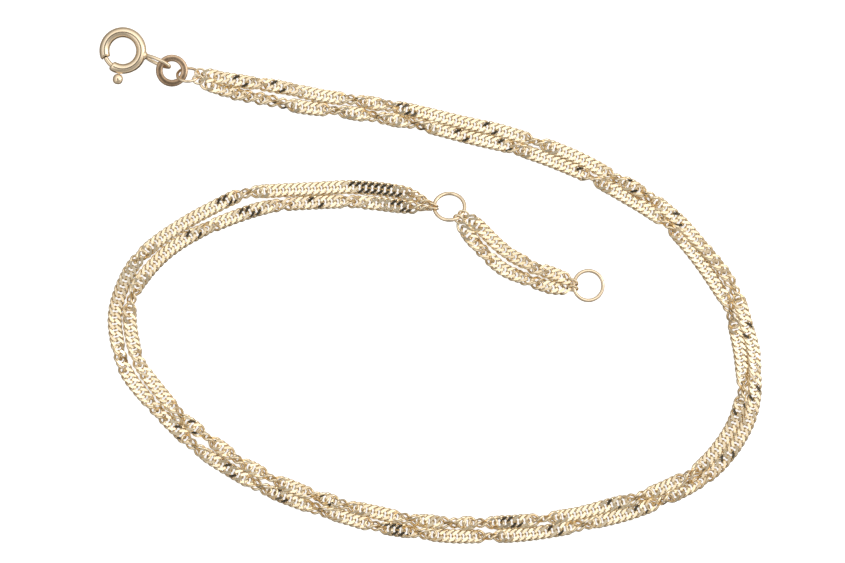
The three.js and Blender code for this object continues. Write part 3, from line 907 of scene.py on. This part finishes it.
def mark_cut_edges(mesh, link_points, count):
    """Mark the rim of every cut flat, so that the flats shade flat and the wire stays round."""
    size = len(link_points)
    is_cut = np.abs(link_points[:, 2]) > CURB_CUT_HEIGHT - 1e-9
    top = is_cut & (link_points[:, 2] > 0)
    faces = grid_faces(CURB_SEGMENTS, CURB_SIDES, True, True)
    face_cut = top[faces].all(axis=1) | (is_cut & ~top)[faces].all(axis=1)
    # Each edge counts 1 for a cut face beside it and 10 for any other, so the rim counts 11
    borders = np.zeros((size, size), int)
    for face, cut in zip(faces, face_cut):
        for a, b in zip(face, np.roll(face, -1)):
            borders[min(a, b), max(a, b)] += 1 if cut else 10
    rim = borders == 11
    ends = np.empty(len(mesh.edges) * 2, int)
    mesh.edges.foreach_get("vertices", ends)
    ends = ends.reshape(-1, 2)
    of_links = (ends < size * count).all(axis=1)
    local = np.sort(ends % size, axis=1)
    sharp = of_links & rim[local[:, 0], local[:, 1]]
    layer = mesh.attributes.new("sharp_edge", "BOOLEAN", "EDGE")
    layer.data.foreach_set("value", sharp)


clasp_ring()
clasp_bolt()
tag_ring()
wire_ring("jump_ring", JUMP, 250)
wire_ring("middle_ring", MIDDLE, 120)
wire_ring("end_ring", END, 20)
MAIN_RINGS = (JUMP, MIDDLE)
EXTENDER_RINGS = (MIDDLE, END)
strand("outer_strand", MAIN_RINGS, OUTER_HOLDS_DEG, OUTER_LINK_TURNS_DEG, OUTER_ROUTE,
       MAIN_END_ROLLS_DEG, OUTER_LEANS, OUTER_EDGES, OUTER_LEVELS)
strand("inner_strand", MAIN_RINGS, INNER_HOLDS_DEG, INNER_LINK_TURNS_DEG, INNER_ROUTE,
       MAIN_END_ROLLS_DEG, INNER_LEANS, INNER_EDGES, INNER_LEVELS, INNER_DRIFTS)
strand("extender_upper", EXTENDER_RINGS, UPPER_HOLDS_DEG, UPPER_LINK_TURNS_DEG, UPPER_ROUTE,
       EXTENDER_END_ROLLS_DEG, UPPER_LEANS)
strand("extender_lower", EXTENDER_RINGS, LOWER_HOLDS_DEG, LOWER_LINK_TURNS_DEG, LOWER_ROUTE,
       EXTENDER_END_ROLLS_DEG, LOWER_LEANS)


# Floor
def floor():
    material = bpy.data.materials.new("white_floor")
    material.use_nodes = True
    shader = material.node_tree.nodes["Principled BSDF"]
    shader.inputs["Base Color"].default_value = (FLOOR_WHITE, FLOOR_WHITE, FLOOR_WHITE, 1)
    shader.inputs["Roughness"].default_value = 0.9
    shader.inputs["Specular IOR Level"].default_value = 0.1
    shader.inputs["Emission Color"].default_value = (1, 1, 1, 1)
    shader.inputs["Emission Strength"].default_value = FLOOR_GLOW
    corners = [(x * FLOOR_HALF, y * FLOOR_HALF, 0) for x, y in ((-1, -1), (1, -1), (1, 1), (-1, 1))]
    mesh = bpy.data.meshes.new("floor")
    mesh.from_pydata(corners, [], [(0, 1, 2, 3)])
    mesh.materials.append(material)
    made = bpy.data.objects.new("floor", mesh)
    bpy.context.scene.collection.objects.link(made)
    made.visible_glossy = False


floor()


# Light: a soft tent, brighter on the right and darker in front, with a dark opening above
def tent():
    world = bpy.data.worlds.new("tent")
    bpy.context.scene.world = world
    world.use_nodes = True
    nodes = world.node_tree.nodes
    links = world.node_tree.links
    background = nodes["Background"]
    direction = nodes.new("ShaderNodeTexCoord")
    split = nodes.new("ShaderNodeSeparateXYZ")
    links.new(direction.outputs["Generated"], split.inputs[0])
    raised = nodes.new("ShaderNodeMapRange")
    raised.inputs["From Min"].default_value = -1.0
    links.new(split.outputs["Z"], raised.inputs["Value"])

    def by_height(stops):
        """The tent's colour from straight down to straight up."""
        ramp = nodes.new("ShaderNodeValToRGB")
        elements = ramp.color_ramp.elements
        elements[0].position = 0.0
        elements[1].position = 1.0
        for up, value in stops:
            place = (up + 1) / 2
            if place in (0, 1):
                element = elements[-1 if place else 0]
            else:
                element = elements.new(place)
            tone = TENT_WARM_TONE if up < TENT_WARM_BELOW else TENT_COOL_TONE
            element.color = (value, value * (1 + tone) / 2, value * tone, 1)
        links.new(raised.outputs["Result"], ramp.inputs["Fac"])
        return ramp.outputs["Color"]

    level = nodes.new("ShaderNodeVectorMath")
    level.operation = "MULTIPLY"
    level.inputs[1].default_value = (1, 1, 0)
    links.new(direction.outputs["Generated"], level.inputs[0])
    compass = nodes.new("ShaderNodeVectorMath")
    compass.operation = "NORMALIZE"
    links.new(level.outputs["Vector"], compass.inputs[0])

    def towards(from_where, side, reach, low, high):
        """A value that goes from low to high as the direction turns towards this side."""
        dot = nodes.new("ShaderNodeVectorMath")
        dot.operation = "DOT_PRODUCT"
        dot.inputs[1].default_value = side
        links.new(from_where, dot.inputs[0])
        share = nodes.new("ShaderNodeMapRange")
        share.inputs["From Min"].default_value = reach[0]
        share.inputs["From Max"].default_value = reach[1]
        share.inputs["To Min"].default_value = low
        share.inputs["To Max"].default_value = high
        links.new(dot.outputs["Value"], share.inputs["Value"])
        return share.outputs["Result"]

    sides = nodes.new("ShaderNodeMixRGB")
    dark_share = towards(compass.outputs["Vector"], TENT_DARK_SIDE, TENT_SIDE_RANGE, 0, 1)
    links.new(dark_share, sides.inputs["Fac"])
    links.new(by_height(TENT_LIGHT_SIDE_STOPS), sides.inputs["Color1"])
    links.new(by_height(TENT_DARK_SIDE_STOPS), sides.inputs["Color2"])
    links.new(sides.outputs["Color"], background.inputs["Color"])
    strength = towards(direction.outputs["Generated"], TENT_BRIGHT_SIDE, TENT_BRIGHT_RANGE,
                       TENT_DIM, TENT_BRIGHT)
    links.new(strength, background.inputs["Strength"])


tent()


def soft_light(name, place, size, power):
    """A round soft lamp that points at the anklet."""
    data = bpy.data.lights.new(name, "AREA")
    data.shape = "DISK"
    data.size = size
    data.energy = power
    made = bpy.data.objects.new(name, data)
    made.location = place
    made.rotation_euler = (-Vector(place)).to_track_quat("-Z", "Y").to_euler()
    bpy.context.scene.collection.objects.link(made)


soft_light("key", KEY_PLACE, KEY_SIZE, KEY_POWER)


# Camera
def camera():
    data = bpy.data.cameras.new("camera")
    data.sensor_width = SENSOR_WIDTH
    data.lens = SENSOR_WIDTH * CAMERA_HEIGHT / PHOTO_WIDTH
    data.clip_start = 0.01
    made = bpy.data.objects.new("camera", data)
    made.location = (CAMERA_AIM[0] * MM, CAMERA_AIM[1] * MM, CAMERA_HEIGHT * MM)
    bpy.context.scene.collection.objects.link(made)
    bpy.context.scene.camera = made
    bpy.context.scene.view_settings.view_transform = "Standard"


camera()
